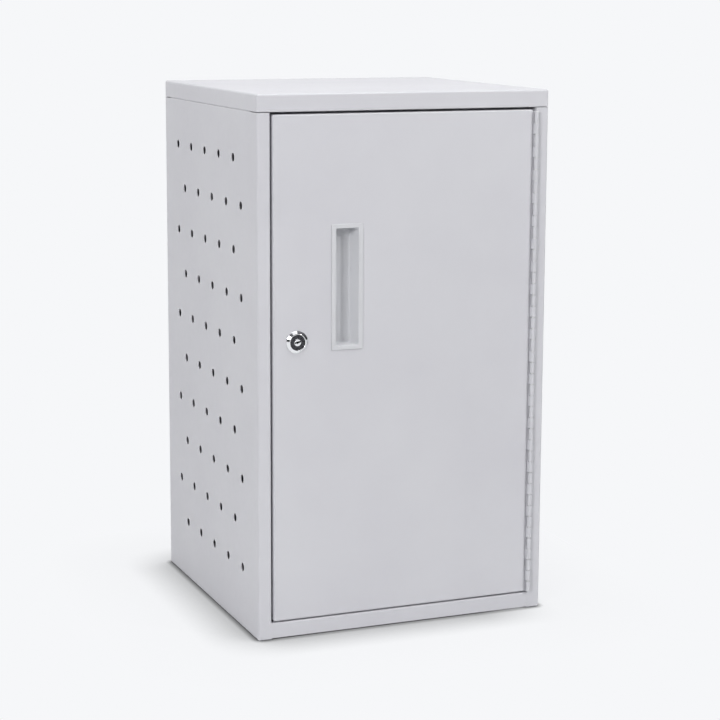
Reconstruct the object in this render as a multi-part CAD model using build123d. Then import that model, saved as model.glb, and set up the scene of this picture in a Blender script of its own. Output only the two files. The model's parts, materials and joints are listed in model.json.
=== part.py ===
from build123d import *
import os

# Sheet-steel locker cabinet, millimetres.
# X runs across the front (hinge side is +X), Y runs from front to back, Z is up.
# The origin is the centre of the cabinet body on the surface that it stands on.

# Cabinet body
WIDTH = 346.0
DEPTH = 333.0
HEIGHT = 600.0
SHEET = 0.8
BEND = 2.4                  # outer radius of the upright folds
FOOT_BEND = 2.0             # outer radius of the turn-in round the foot
TIGHT_BEND = 1.2            # outer radius of the top, lid and rail folds

# Lid
LID_SKIRT = 19.5
LID_GAP = 0.5               # between the skirt and the tops of the posts
LID_LIP = 5.0               # inward lip round the foot of the skirt
LIP_FIT = 0.3               # from the lip to the back panel and the ends of the rail

# Side panels
POST_WIDTH = 15.5
POST_RETURN = 18.0          # fold that runs back from the front post
BACK_FLANGE = 16.0
TOP_FLANGE = 18.0
FOOT_FLANGE = 15.0
CORNER_RELIEF = 22.0        # the top flange stops this far from the corners
RETURN_FIT = 0.3            # from the sill to the foot of the post's return

# Vent holes: staggered rows of round holes
VENT_DIAMETER = 9.6
VENT_PITCH = 50.8
VENT_END_MARGIN = 45.0      # least distance of a hole from the top and foot of the side
VENT_EDGE_MARGIN = 48.0     # least distance of a hole from the front and back
VENT_SHIFT_BACK = 1.0       # middle of the pattern from the middle of the side
VENT_SHIFT_UP = 8.55

# Base pan
SILL_HEIGHT = 18.5
SILL_LIFT = 1.5             # foot of the sill above the floor

# Back panel
BACK_PANEL_OVERLAP = 12.0   # how far it reaches up inside the lid
WALL_HOLE_DIAMETER = 8.0
WALL_HOLE_SPACING_X = 240.0
WALL_HOLE_SPACING_Z = 400.0

# Stop rail above the door and stop strip on the left post
RAIL_DROP = 20.0
STRIP_REACH = 10.0          # how far it stands into the opening
STRIP_END_GAP = 1.5
STRIP_FIT = 0.2             # from its leg and its face to the return
STRIP_RIVETS = 5

# Rivets
RIVET_SHANK = 1.6
RIVET_HEAD = 3.0
RIVET_HEAD_THICKNESS = 0.8
RIVET_BULB = 2.4
RIVET_BULB_LENGTH = 1.6
RIVET_END_MARGIN = 35.0
BACK_RIVETS = 6

# Door bumpers
BUMPER_RADIUS = 4.5
BUMPER_GAP = 0.3
BUMPER_STEM = 2.0
BUMPER_HOLE_FIT = 0.05
BUMPER_TAIL = 3.2
BUMPER_TAIL_LENGTH = 1.8
BUMPER_SPACING = 300.0

# Lid studs and nuts
STUD_RADIUS = 2.5
STUD_HOLE_CLEARANCE = 0.3
STUD_SPACING_Y = 230.0
STUD_TIP = 1.5              # bare end below the nut
STUD_NUT_FLATS = 8.0
STUD_NUT_HEIGHT = 4.0
NUT_FIT = 0.05              # between a stud and the bore of its nut

# Coat hooks
HOOK_PLATE_WIDTH = 16.0
HOOK_PLATE_HEIGHT = 34.0
HOOK_PLATE = 2.0
HOOK_WIRE = 2.5
HOOK_REACH = 16.0
HOOK_RISE = 14.0
HOOK_BEND = 6.0
HOOK_TIP = 3.2
HOOK_SET_BACK = 10.7        # behind the middle of the side
HOOK_DROP = 49.6            # foot of its plate below the top of the side

# Door
DOOR_SIDE_GAP = 2.6         # at the lock side
DOOR_TOP_GAP = 2.7
DOOR_FOOT_GAP = 1.5
DOOR_DEPTH = 16.0
DOOR_LIP = 12.0             # inward lip round the back of the pan
DOOR_CORNER = 2.0

# Door stiffener, a hat section
STIFFENER_CENTRE = 40.0
STIFFENER_CROWN = 44.0
STIFFENER_FLANGE = 14.0
STIFFENER_RISE = 11.0
STIFFENER_BEND = 1.8
STIFFENER_END_GAP = 10.0    # from the lips of the door

# Piano hinge
PIN_DIAMETER = 3.0
PIN_FIT = 0.05              # radial running clearance in the knuckles
LEAF = 1.1
LEAF_DEPTH = 14.0           # reach of the leaves behind the door face
LEAF_GAP = 1.0              # between the two leaves when the door is shut
KNUCKLES = 43
KNUCKLE_SLIT = 0.9          # between neighbouring knuckles
KNUCKLE_NOTCH = 0.4         # clearance of a leaf round the other leaf's knuckles
HINGE_TOP_GAP = 2.0         # below the top of the door
HINGE_FOOT_GAP = 0.4        # above the foot of the door
BARREL_LIFT = 0.3           # from the faces of the door and the post to the barrel
HINGE_INSET = 0.5           # pin axis beside the return that carries the hinge
HINGE_RIVETS = 8

# Recessed handle
CUP_INSET = 85.6            # from the free edge of the door to the middle of the cup
CUP_DROP = 188.3            # from the top of the door
BEZEL_WIDTH = 37.0
BEZEL_HEIGHT = 138.4
BEZEL_PROUD = 1.2
BEZEL_CHAMFER = 0.6
BEZEL_CORNER = 1.2
MOUTH_WIDTH = 26.6
MOUTH_HEIGHT = 128.8
CUP_RECESS = 16.0           # from the bezel face to the floor of the cup
CUP_DRAFT_X = 5.0           # each side wall closes in by this much over the recess
CUP_DRAFT_Z = 0.6
CUP_WALL = 1.8
CUP_FIT = 0.3               # round the cup in the door cut-out
CUP_STUD_RADIUS = 2.0
CUP_STUD_SPACING = 70.0
CUP_NUT_FLATS = 7.0
CUP_NUT_HEIGHT = 3.2
CUP_STUD_TIP = 1.5

# Handle bracket, a channel over the back of the cup
BRACKET_SHEET = 1.5
BRACKET_HEIGHT = 96.0
BRACKET_SIDE_GAP = 1.5
BRACKET_BEND = 3.0

# Lock
LOCK_INSET = 27.2           # from the free edge of the door
LOCK_DROP = 245.8           # from the top of the door
RING_RADIUS = 12.5
RING_EDGE = 0.8
RING_PROUD = 2.9
RING_CROWN_RADIUS = 9.5
WELL_RADIUS = 8.6
WELL_DEPTH = 1.3
LOCK_THREAD_RADIUS = 9.4
LOCK_FLATS = 16.0
LOCK_HOLE_FIT = 0.15
LOCK_BODY_END = 19.5        # rear end of the body, behind the door face
LOCK_NUT_FLATS = 24.0
LOCK_NUT_THICKNESS = 5.0
PLUG_RADIUS = 5.5
PLUG_FIT = 0.05
PLUG_DISC_RADIUS = 8.2
PLUG_DISC_THICKNESS = 0.6
PLUG_DISC_LIFT = 0.1
CORE_RADIUS = 4.6
CORE_PROUD = 0.5
KEY_SLOT_LENGTH = 7.2
KEY_SLOT_WIDTH = 1.9
KEY_SLOT_DEPTH = 7.0
CAM_SETBACK = 0.8           # from the lock body to the cam
CAM_THICKNESS = 2.5
CAM_WIDTH = 15.0
CAM_REACH = 28.0
CAM_SQUARE = 7.0
CAM_SQUARE_FIT = 0.1
CAM_TAIL_SHORT = 0.2        # the square ends this far inside the cam
CAM_WASHER_RADIUS = 7.0
CAM_WASHER = 1.2
CAM_SCREW_RADIUS = 2.0
CAM_SCREW_HEAD = 8.0
CAM_SCREW_HEAD_THICKNESS = 3.0
CAM_SCREW_LENGTH = 9.0
CAM_SCREW_SPARE = 1.0       # its hole runs this far past its tip

# Planes and places worked out from the sizes above
SIDE = WIDTH / 2
FRONT = -DEPTH / 2
BACK = DEPTH / 2
POST = SIDE - POST_WIDTH
SKIRT_FOOT = HEIGHT - LID_SKIRT
POST_TOP = SKIRT_FOOT - LID_GAP
STOP_FACE = FRONT + POST_RETURN + STRIP_FIT
STOP_BACK = STOP_FACE + SHEET
PANEL_BACK = BACK - SHEET
PANEL_FRONT = PANEL_BACK - SHEET
BARREL = PIN_DIAMETER / 2 + LEAF
HINGE_X = POST - HINGE_INSET
HINGE_Y = FRONT - BARREL_LIFT - BARREL
DOOR_LEFT = -POST + DOOR_SIDE_GAP
DOOR_RIGHT = POST - 2 * LEAF - LEAF_GAP
DOOR_FOOT = SILL_HEIGHT + DOOR_FOOT_GAP
DOOR_TOP = SKIRT_FOOT - DOOR_TOP_GAP
DOOR_BACK = FRONT + DOOR_DEPTH
DOOR_INNER = FRONT + SHEET
CUP_X = DOOR_LEFT + CUP_INSET
CUP_Z = DOOR_TOP - CUP_DROP
LOCK_X = DOOR_LEFT + LOCK_INSET
LOCK_Z = DOOR_TOP - LOCK_DROP
CUP_FLOOR_BACK = FRONT - BEZEL_PROUD + CUP_RECESS + CUP_WALL
CAM_FRONT = FRONT + LOCK_BODY_END + CAM_SETBACK
CAM_BACK = CAM_FRONT + CAM_THICKNESS


def block(x0, x1, y0, y1, z0, z1):
    """Plain box between two opposite corners."""
    middle = Pos((x0 + x1) / 2, (y0 + y1) / 2, (z0 + z1) / 2)
    return middle * Box(x1 - x0, y1 - y0, z1 - z0)


def rod_x(y, z, x0, x1, radius):
    """Round bar along X."""
    return Pos((x0 + x1) / 2, y, z) * Rot(0, 90, 0) * Cylinder(radius, abs(x1 - x0))


def rod_y(x, z, y0, y1, radius):
    """Round bar along Y."""
    return Pos(x, (y0 + y1) / 2, z) * Rot(90, 0, 0) * Cylinder(radius, abs(y1 - y0))


def rod_z(x, y, z0, z1, radius):
    """Round bar along Z."""
    return Pos(x, y, (z0 + z1) / 2) * Cylinder(radius, abs(z1 - z0))


def hexagon(flats, height):
    """Hexagonal prism along Z, centred, with its width across the flats."""
    return extrude(RegularPolygon(flats / 2, 6, major_radius=False), height / 2, both=True)


def folded(points, bend, thickness):
    """Flat section of a folded sheet that runs through the middle of its thickness."""
    line = FilletPolyline(*points, radius=bend - thickness / 2)
    return trace(line, thickness)


def upright(section, z0, z1):
    """Stand a flat X-Y section up between two heights."""
    return Pos(0, 0, z0) * extrude(section, z1 - z0)


def along_y(section, y0, y1):
    """Run a section drawn in X (across) and Z (up) from front to back."""
    plane = Plane(origin=(0, y0, 0), x_dir=(1, 0, 0), z_dir=(0, -1, 0))
    return extrude(plane * section, -(y1 - y0))


def along_x(section, x0, x1):
    """Run a section drawn in Y (across) and Z (up) from left to right."""
    plane = Plane(origin=(x0, 0, 0), x_dir=(0, 1, 0), z_dir=(1, 0, 0))
    return extrude(plane * section, x1 - x0)


def spread(first, last, count):
    """Evenly spaced places from first to last."""
    return [first + (last - first) * index / (count - 1) for index in range(count)]


def group(pieces):
    """Separate solids that share one node."""
    return Compound(children=[solid for piece in pieces for solid in piece.solids()])


# ---- cabinet body ----

def vent_places():
    """Y and Z of each vent hole: as many as fit, neighbouring rows shifted by half a pitch."""
    stagger = VENT_PITCH / 4
    rows = int((SKIRT_FOOT - 2 * VENT_END_MARGIN) / VENT_PITCH) + 1
    columns = int((DEPTH - 2 * VENT_EDGE_MARGIN - 2 * stagger) / VENT_PITCH) + 1
    places = []
    for row in range(rows):
        height = SKIRT_FOOT / 2 + VENT_SHIFT_UP + ((rows - 1) / 2 - row) * VENT_PITCH
        shift = VENT_SHIFT_BACK + (stagger if row % 2 == 0 else -stagger)
        for column in range(columns):
            offset = (column - (columns - 1) / 2) * VENT_PITCH
            places.append((shift + offset, height))
    return places


def stud_places():
    """X and Y of each lid stud, on the middle of the top flanges."""
    x = SIDE - TOP_FLANGE / 2 - SHEET
    return [(sx * x, sy * STUD_SPACING_Y / 2) for sx in (-1, 1) for sy in (-1, 1)]


def side_block(inset):
    """Left half of the body up to the top of the posts, its upright and foot edges rounded."""
    body = block(-SIDE + inset, inset, FRONT + inset, BACK - inset, inset, POST_TOP + inset)
    body = fillet(body.edges().filter_by(Axis.Z).sort_by(Axis.X)[:2], BEND - inset)
    foot = body.edges().group_by(Axis.Z)[0].sort_by(Axis.X)[:-1]
    return fillet(foot, FOOT_BEND - inset)


def side_shell():
    """Left wall turned in at the front, the back and the foot."""
    shell = side_block(0) - side_block(SHEET)
    ends = [FRONT - SHEET, FRONT + FOOT_FLANGE, BACK - FOOT_FLANGE, BACK + SHEET]
    widths = [POST_WIDTH, FOOT_FLANGE, BACK_FLANGE]
    return shell - [
        block(-SIDE + width, SHEET, start, end, -SHEET, POST_TOP + SHEET)
        for width, start, end in zip(widths, ends, ends[1:])
    ]


def post_return():
    """Fold that runs back from the left post, above the sill."""
    half = SHEET / 2
    section = folded([
        (-POST - half, FRONT + POST_RETURN), (-POST - half, FRONT + half),
        (-POST - 2 * BEND, FRONT + half),
    ], BEND, SHEET)
    return upright(section, SILL_HEIGHT + RETURN_FIT, POST_TOP)


def top_flange():
    """Inward flange along the top of the left wall, which the lid sits on."""
    wall = -SIDE + SHEET / 2
    top = SKIRT_FOOT - SHEET / 2
    section = folded([(wall, top - CORNER_RELIEF), (wall, top), (-SIDE + TOP_FLANGE, top)],
                     TIGHT_BEND, SHEET)
    return along_y(section, FRONT + CORNER_RELIEF, BACK - CORNER_RELIEF)


def side_panel(post_hole_y, post_hole_heights):
    """Left side with its post, back flange, top and foot flanges and vents."""
    panel = side_shell()
    panel -= block(-POST - BEND, SHEET, FRONT - SHEET, FRONT + BEND,
                   SILL_HEIGHT + RETURN_FIT, POST_TOP + SHEET)
    panel += post_return()
    panel -= block(-SIDE - SHEET, -SIDE + BEND, FRONT + CORNER_RELIEF, BACK - CORNER_RELIEF,
                   SKIRT_FOOT - CORNER_RELIEF, HEIGHT)
    panel += top_flange()
    panel -= [
        rod_x(y, z, -SIDE - SHEET, -SIDE + 2 * SHEET, VENT_DIAMETER / 2)
        for y, z in vent_places()
    ]
    panel -= [
        rod_z(x, y, SKIRT_FOOT - 2 * SHEET, SKIRT_FOOT + SHEET, STUD_RADIUS + STUD_HOLE_CLEARANCE)
        for x, y in stud_places() if x < 0
    ]
    panel -= [
        rod_y(x, z, PANEL_BACK - SHEET, BACK + SHEET, RIVET_SHANK)
        for x, z in back_rivet_places() if x < 0
    ]
    return panel - [
        rod_x(post_hole_y, z, -POST - 2 * SHEET, -POST + SHEET, RIVET_SHANK)
        for z in post_hole_heights
    ]


def left_side_panel():
    """Left side, its post drilled for the stop strip."""
    return side_panel(strip_rivet_y(), strip_rivet_heights())


def right_side_panel():
    """Right side, its post drilled for the hinge."""
    return mirror(side_panel(hinge_rivet_y(), post_rivet_heights()), about=Plane.YZ)


def back_rivet_places():
    x = SIDE - BACK_FLANGE / 2
    heights = spread(RIVET_END_MARGIN, POST_TOP - RIVET_END_MARGIN, BACK_RIVETS)
    return [(side * x, z) for side in (-1, 1) for z in heights]


def wall_hole_places():
    return [
        (sx * WALL_HOLE_SPACING_X / 2, HEIGHT / 2 + sz * WALL_HOLE_SPACING_Z / 2)
        for sx in (-1, 1) for sz in (-1, 1)
    ]


def back_panel():
    """Flat sheet inside the back flanges, reaching up inside the lid."""
    edge = SIDE - BEND
    top = SKIRT_FOOT + BACK_PANEL_OVERLAP
    panel = block(-edge, edge, PANEL_FRONT, PANEL_BACK, FOOT_BEND, top)
    panel -= [
        rod_y(x, z, PANEL_FRONT - SHEET, BACK, WALL_HOLE_DIAMETER / 2)
        for x, z in wall_hole_places()
    ]
    panel -= [
        rod_y(x, z, PANEL_FRONT - SHEET, BACK, RIVET_SHANK) for x, z in back_rivet_places()
    ]
    return panel


def pan_outline(inset):
    """Plan of the base pan, notched round the returns of the two posts."""
    wall = SIDE - FOOT_BEND - inset
    throat = POST - inset
    shoulder = FRONT + POST_RETURN + inset
    front = FRONT + inset
    rear = min(PANEL_FRONT, BACK - FOOT_BEND) - inset
    return make_face(Polyline(
        (-throat, front), (throat, front), (throat, shoulder), (wall, shoulder),
        (wall, rear), (-wall, rear), (-wall, shoulder), (-throat, shoulder),
        close=True,
    ))


def base_pan():
    """Floor of the cabinet: an upturned pan whose front edge is the sill."""
    pan = upright(pan_outline(0), SHEET, SILL_HEIGHT)
    front_edges = pan.edges().filter_by(Axis.X).sort_by(Axis.Y)[:2]
    pan = fillet(front_edges.sort_by(Axis.Z)[-1], TIGHT_BEND)
    pan -= upright(pan_outline(SHEET), 0, SILL_HEIGHT - SHEET)
    return pan - block(-POST, POST, FRONT - SHEET, FRONT + SHEET, 0, SILL_LIFT)


def lid_block(inset, top_bend, foot_bend):
    """Lid's outside, or its hollow, with rounded upright, top and foot edges."""
    lid = block(-SIDE + inset, SIDE - inset, FRONT + inset, BACK - inset,
                SKIRT_FOOT + inset, HEIGHT - inset)
    lid = fillet(lid.edges().filter_by(Axis.Z) + lid.edges().group_by(Axis.Z)[-1], top_bend)
    return fillet(lid.edges().group_by(Axis.Z)[0], foot_bend)


def top_lid():
    """Shallow pan that caps the cabinet, flush with its sides, on an inward lip."""
    lid = lid_block(0, BEND, TIGHT_BEND) - lid_block(SHEET, BEND - SHEET, TIGHT_BEND - SHEET)
    lip = (SKIRT_FOOT - SHEET, SKIRT_FOOT + TIGHT_BEND)
    lid -= block(-SIDE + LID_LIP, SIDE - LID_LIP, FRONT + LID_LIP, PANEL_BACK, *lip)
    edge = SIDE - BEND + LIP_FIT
    return lid - block(-edge, edge, PANEL_FRONT - LIP_FIT, PANEL_BACK, *lip)


def top_rail():
    """Angle behind the lid skirt that ties the posts and stops the top of the door."""
    half = SHEET / 2
    web = SKIRT_FOOT + SHEET + half
    section = folded([
        (FRONT + TIGHT_BEND, web), (STOP_FACE + half, web),
        (STOP_FACE + half, SKIRT_FOOT - RAIL_DROP),
    ], TIGHT_BEND, SHEET)
    reach = SIDE - LID_LIP - LIP_FIT
    return along_x(section, -reach, reach)


def strip_span():
    return DOOR_FOOT, SKIRT_FOOT - RAIL_DROP - STRIP_END_GAP


def strip_rivet_y():
    return FRONT + POST_RETURN / 2


def strip_rivet_heights():
    foot, top = strip_span()
    return spread(foot + RIVET_END_MARGIN, top - RIVET_END_MARGIN, STRIP_RIVETS)


def bumper_heights():
    middle = sum(strip_span()) / 2
    return [middle - BUMPER_SPACING / 2, middle + BUMPER_SPACING / 2]


def bumper_x():
    return -POST + STRIP_REACH / 2


def stop_strip():
    """Angle round the left post's return: the door shuts on it and the cam hooks behind it."""
    half = SHEET / 2
    leg = -POST - SHEET - STRIP_FIT - half
    section = folded([
        (leg, FRONT + SHEET + BEND), (leg, STOP_FACE + half), (-POST + STRIP_REACH, STOP_FACE + half),
    ], TIGHT_BEND, SHEET)
    strip = upright(section, *strip_span())
    strip -= [
        rod_x(strip_rivet_y(), z, -POST - 3 * SHEET, -POST, RIVET_SHANK)
        for z in strip_rivet_heights()
    ]
    strip -= [
        rod_y(bumper_x(), z, STOP_FACE - SHEET, STOP_BACK + SHEET, BUMPER_STEM + BUMPER_HOLE_FIT)
        for z in bumper_heights()
    ]
    return strip


def rivet_x(y, z, head_face, towards, grip):
    """Blind rivet along X with its head on head_face, its shank going the way of towards."""
    head_top = head_face - towards * RIVET_HEAD_THICKNESS
    far_face = head_face + towards * grip
    return (
        rod_x(y, z, head_top, head_face, RIVET_HEAD)
        + rod_x(y, z, head_top, far_face, RIVET_SHANK)
        + rod_x(y, z, far_face, far_face + towards * RIVET_BULB_LENGTH, RIVET_BULB)
    )


def strip_rivets():
    grip = 2 * SHEET + STRIP_FIT
    return group([rivet_x(strip_rivet_y(), z, -POST, -1, grip) for z in strip_rivet_heights()])


def back_rivets():
    """Blind rivets through the back flanges and the back panel, heads outside."""
    rivets = []
    for x, z in back_rivet_places():
        head_top = BACK + RIVET_HEAD_THICKNESS
        head = rod_y(x, z, BACK, head_top, RIVET_HEAD)
        rim = head.edges().filter_by(GeomType.CIRCLE).sort_by(Axis.Y)[-1]
        head = chamfer(rim, RIVET_HEAD_THICKNESS / 2)
        shank = rod_y(x, z, PANEL_FRONT, BACK, RIVET_SHANK)
        bulb = rod_y(x, z, PANEL_FRONT - RIVET_BULB_LENGTH, PANEL_FRONT, RIVET_BULB)
        rivets.append(head + shank + bulb)
    return group(rivets)


def door_bumpers():
    """Rubber buttons pushed through the stop strip."""
    x = bumper_x()
    bumpers = []
    for z in bumper_heights():
        face = rod_y(x, z, DOOR_BACK + BUMPER_GAP, STOP_FACE, BUMPER_RADIUS)
        stem = rod_y(x, z, STOP_FACE, STOP_BACK, BUMPER_STEM)
        tail = rod_y(x, z, STOP_BACK, STOP_BACK + BUMPER_TAIL_LENGTH, BUMPER_TAIL)
        bumpers.append(face + stem + tail)
    return group(bumpers)


def lid_studs():
    """Threaded studs welded under the lid."""
    foot = SKIRT_FOOT - SHEET - STUD_NUT_HEIGHT - STUD_TIP
    return group([rod_z(x, y, foot, HEIGHT - SHEET, STUD_RADIUS) for x, y in stud_places()])


def lid_nuts():
    top = SKIRT_FOOT - SHEET
    nuts = []
    for x, y in stud_places():
        nut = Pos(x, y, top - STUD_NUT_HEIGHT / 2) * hexagon(STUD_NUT_FLATS, STUD_NUT_HEIGHT)
        nuts.append(nut - rod_z(x, y, top - 2 * STUD_NUT_HEIGHT, top + SHEET, STUD_RADIUS + NUT_FIT))
    return group(nuts)


def left_coat_hook():
    """Single hook welded inside the left wall, its foot just over a top-row vent hole."""
    wall = -SIDE + SHEET
    face = wall + HOOK_PLATE
    y = HOOK_SET_BACK
    foot = SKIRT_FOOT - HOOK_DROP
    plate = block(wall, face, y - HOOK_PLATE_WIDTH / 2, y + HOOK_PLATE_WIDTH / 2,
                  foot, foot + HOOK_PLATE_HEIGHT)
    root = foot + HOOK_PLATE_HEIGHT / 2
    path = FilletPolyline(
        (face - HOOK_PLATE / 2, y, root), (face + HOOK_REACH, y, root),
        (face + HOOK_REACH, y, root + HOOK_RISE), radius=HOOK_BEND,
    )
    wire = sweep(Plane(path @ 0, z_dir=path % 0) * Circle(HOOK_WIRE), path=path)
    tip = Pos(face + HOOK_REACH, y, root + HOOK_RISE) * Sphere(HOOK_TIP)
    return plate + wire + tip


def right_coat_hook():
    return mirror(left_coat_hook(), about=Plane.YZ)


# ---- piano hinge ----

def hinge_span():
    return DOOR_FOOT + HINGE_FOOT_GAP, DOOR_TOP - HINGE_TOP_GAP


def knuckle_spans(first):
    """Foot and top of every second knuckle, counted from the top."""
    foot, top = hinge_span()
    pitch = (top - foot) / KNUCKLES
    return [
        (top - (index + 1) * pitch + KNUCKLE_SLIT / 2, top - index * pitch - KNUCKLE_SLIT / 2)
        for index in range(first, KNUCKLES, 2)
    ]


def hinge_rivet_y():
    return FRONT + LEAF_DEPTH / 2


def post_rivet_heights():
    foot, top = hinge_span()
    margin = RIVET_END_MARGIN
    return spread(foot + margin, top - margin, HINGE_RIVETS)


def door_rivet_heights():
    """Half-way between the post's rivets, so that the heads pass each other."""
    heights = post_rivet_heights()
    return [(lower + upper) / 2 for lower, upper in zip(heights, heights[1:])]


def hinge_leaf(low, first, rivet_heights):
    """Leaf whose plate starts at X = low, with every second knuckle of the barrel."""
    foot, top = hinge_span()
    high = low + LEAF
    leaf = block(low, high, HINGE_Y + BARREL + KNUCKLE_NOTCH, FRONT + LEAF_DEPTH, foot, top)
    own = knuckle_spans(first)
    leaf += [block(low, high, HINGE_Y, HINGE_Y + 2 * BARREL, z0, z1) for z0, z1 in own]
    leaf += [rod_z(HINGE_X, HINGE_Y, z0, z1, BARREL) for z0, z1 in own]
    leaf -= rod_z(HINGE_X, HINGE_Y, foot - LEAF, top + LEAF, PIN_DIAMETER / 2 + PIN_FIT)
    leaf -= [
        rod_x(hinge_rivet_y(), z, low - SHEET, high + SHEET, RIVET_SHANK)
        for z in rivet_heights
    ]
    return leaf


def hinge_post_leaf():
    """Leaf riveted to the right post; it owns the top and foot knuckles."""
    return hinge_leaf(POST - LEAF, 0, post_rivet_heights())


def hinge_door_leaf():
    """Leaf riveted to the edge of the door."""
    return hinge_leaf(DOOR_RIGHT, 1, door_rivet_heights())


def hinge_pin():
    return rod_z(HINGE_X, HINGE_Y, *hinge_span(), PIN_DIAMETER / 2)


def hinge_post_rivets():
    face = POST - LEAF
    return group([
        rivet_x(hinge_rivet_y(), z, face, 1, LEAF + SHEET) for z in post_rivet_heights()
    ])


def hinge_door_rivets():
    face = DOOR_RIGHT + LEAF
    return group([
        rivet_x(hinge_rivet_y(), z, face, -1, LEAF + SHEET) for z in door_rivet_heights()
    ])


# ---- door ----

def lock_section(fit):
    """Round lock body with two flats, as an X-Z section."""
    round_body = Circle(LOCK_THREAD_RADIUS + fit)
    return round_body & Rectangle(4 * LOCK_THREAD_RADIUS, LOCK_FLATS + 2 * fit)


def lock_bar(y0, y1, fit):
    return along_y(Pos(LOCK_X, LOCK_Z) * lock_section(fit), y0, y1)


def door_skin():
    """Folded door pan: face, edges and inward lip, with the handle and lock cut-outs."""
    skin = block(DOOR_LEFT, DOOR_RIGHT, FRONT, DOOR_BACK, DOOR_FOOT, DOOR_TOP)
    skin = fillet(skin.edges().filter_by(Axis.Y) + skin.edges().group_by(Axis.Y)[0], DOOR_CORNER)
    hollow = block(DOOR_LEFT + SHEET, DOOR_RIGHT - SHEET, DOOR_INNER, DOOR_BACK - SHEET,
                   DOOR_FOOT + SHEET, DOOR_TOP - SHEET)
    skin -= fillet(hollow.edges().filter_by(Axis.Y) + hollow.edges().group_by(Axis.Y)[0],
                   DOOR_CORNER - SHEET)
    skin -= block(DOOR_LEFT + DOOR_LIP, DOOR_RIGHT - DOOR_LIP, DOOR_INNER + SHEET,
                  DOOR_BACK + SHEET, DOOR_FOOT + DOOR_LIP, DOOR_TOP - DOOR_LIP)
    wide = MOUTH_WIDTH / 2 + CUP_WALL + CUP_FIT
    tall = MOUTH_HEIGHT / 2 + CUP_WALL + CUP_FIT
    skin -= block(CUP_X - wide, CUP_X + wide, FRONT - SHEET, DOOR_INNER + SHEET,
                  CUP_Z - tall, CUP_Z + tall)
    skin -= lock_bar(FRONT - SHEET, DOOR_INNER + SHEET, LOCK_HOLE_FIT)
    skin -= [
        rod_x(hinge_rivet_y(), z, DOOR_RIGHT - 2 * SHEET, DOOR_RIGHT + SHEET, RIVET_SHANK)
        for z in door_rivet_heights()
    ]
    return skin


def door_stiffener():
    """Hat section welded up the inside of the door."""
    half = SHEET / 2
    foot = DOOR_INNER + half
    crown = DOOR_INNER + STIFFENER_RISE - half
    x0 = STIFFENER_CENTRE - STIFFENER_CROWN / 2
    x1 = STIFFENER_CENTRE + STIFFENER_CROWN / 2
    section = folded([
        (x0 - STIFFENER_FLANGE, foot), (x0, foot), (x0, crown),
        (x1, crown), (x1, foot), (x1 + STIFFENER_FLANGE, foot),
    ], STIFFENER_BEND, SHEET)
    end = DOOR_LIP + STIFFENER_END_GAP
    return upright(section, DOOR_FOOT + end, DOOR_TOP - end)


def tapered(width, height, y0, y1, draft_x, draft_z):
    """Rectangular block whose X and Z sides close in from y0 to y1."""
    def face(y, in_x, in_z):
        plane = Plane(origin=(CUP_X, y, CUP_Z), x_dir=(1, 0, 0), z_dir=(0, -1, 0))
        return plane * Rectangle(width - 2 * in_x, height - 2 * in_z)
    return loft([face(y0, 0, 0), face(y1, draft_x, draft_z)])


def cup_stud_heights():
    return [CUP_Z - CUP_STUD_SPACING / 2, CUP_Z + CUP_STUD_SPACING / 2]


def handle_cup():
    """Moulded cup: raised bezel, drafted recess and two studs on its back."""
    face = FRONT - BEZEL_PROUD
    half_w, half_h = BEZEL_WIDTH / 2, BEZEL_HEIGHT / 2
    bezel = block(CUP_X - half_w, CUP_X + half_w, face, FRONT, CUP_Z - half_h, CUP_Z + half_h)
    bezel = fillet(bezel.edges().filter_by(Axis.Y), BEZEL_CORNER)
    bezel = chamfer(bezel.edges().group_by(Axis.Y)[0], BEZEL_CHAMFER)
    cup = bezel + tapered(
        MOUTH_WIDTH + 2 * CUP_WALL, MOUTH_HEIGHT + 2 * CUP_WALL,
        FRONT, CUP_FLOOR_BACK, CUP_DRAFT_X, CUP_DRAFT_Z,
    )
    cup -= tapered(MOUTH_WIDTH, MOUTH_HEIGHT, face, face + CUP_RECESS, CUP_DRAFT_X, CUP_DRAFT_Z)
    stud_end = CUP_FLOOR_BACK + BRACKET_SHEET + CUP_NUT_HEIGHT + CUP_STUD_TIP
    cup += [
        rod_y(CUP_X, z, CUP_FLOOR_BACK - CUP_WALL / 2, stud_end, CUP_STUD_RADIUS)
        for z in cup_stud_heights()
    ]
    return cup


def handle_bracket():
    """Channel that bridges the back of the cup and bears on the inside of the door."""
    half = BRACKET_SHEET / 2
    reach = MOUTH_WIDTH / 2 + CUP_WALL + BRACKET_SIDE_GAP + half
    back = CUP_FLOOR_BACK + half
    section = folded([
        (CUP_X - reach, DOOR_INNER), (CUP_X - reach, back),
        (CUP_X + reach, back), (CUP_X + reach, DOOR_INNER),
    ], BRACKET_BEND, BRACKET_SHEET)
    bracket = upright(section, CUP_Z - BRACKET_HEIGHT / 2, CUP_Z + BRACKET_HEIGHT / 2)
    return bracket - [
        rod_y(CUP_X, z, back - BRACKET_SHEET, back + BRACKET_SHEET, CUP_STUD_RADIUS + NUT_FIT)
        for z in cup_stud_heights()
    ]


def handle_nuts():
    seat = CUP_FLOOR_BACK + BRACKET_SHEET
    nuts = []
    for z in cup_stud_heights():
        nut = Pos(CUP_X, seat + CUP_NUT_HEIGHT / 2, z) * Rot(90, 0, 0)
        nut = nut * hexagon(CUP_NUT_FLATS, CUP_NUT_HEIGHT)
        bore = rod_y(CUP_X, z, seat - SHEET, seat + 2 * CUP_NUT_HEIGHT, CUP_STUD_RADIUS + NUT_FIT)
        nuts.append(nut - bore)
    return group(nuts)


# ---- lock ----

def turned(profile):
    """Solid of revolution about the lock's axis from (radius, depth behind the door face)."""
    points = [(LOCK_X + radius, FRONT + depth, LOCK_Z) for radius, depth in profile]
    axis = Axis((LOCK_X, 0, LOCK_Z), (0, 1, 0))
    return revolve(make_face(Polyline(*points, close=True)), axis)


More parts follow.
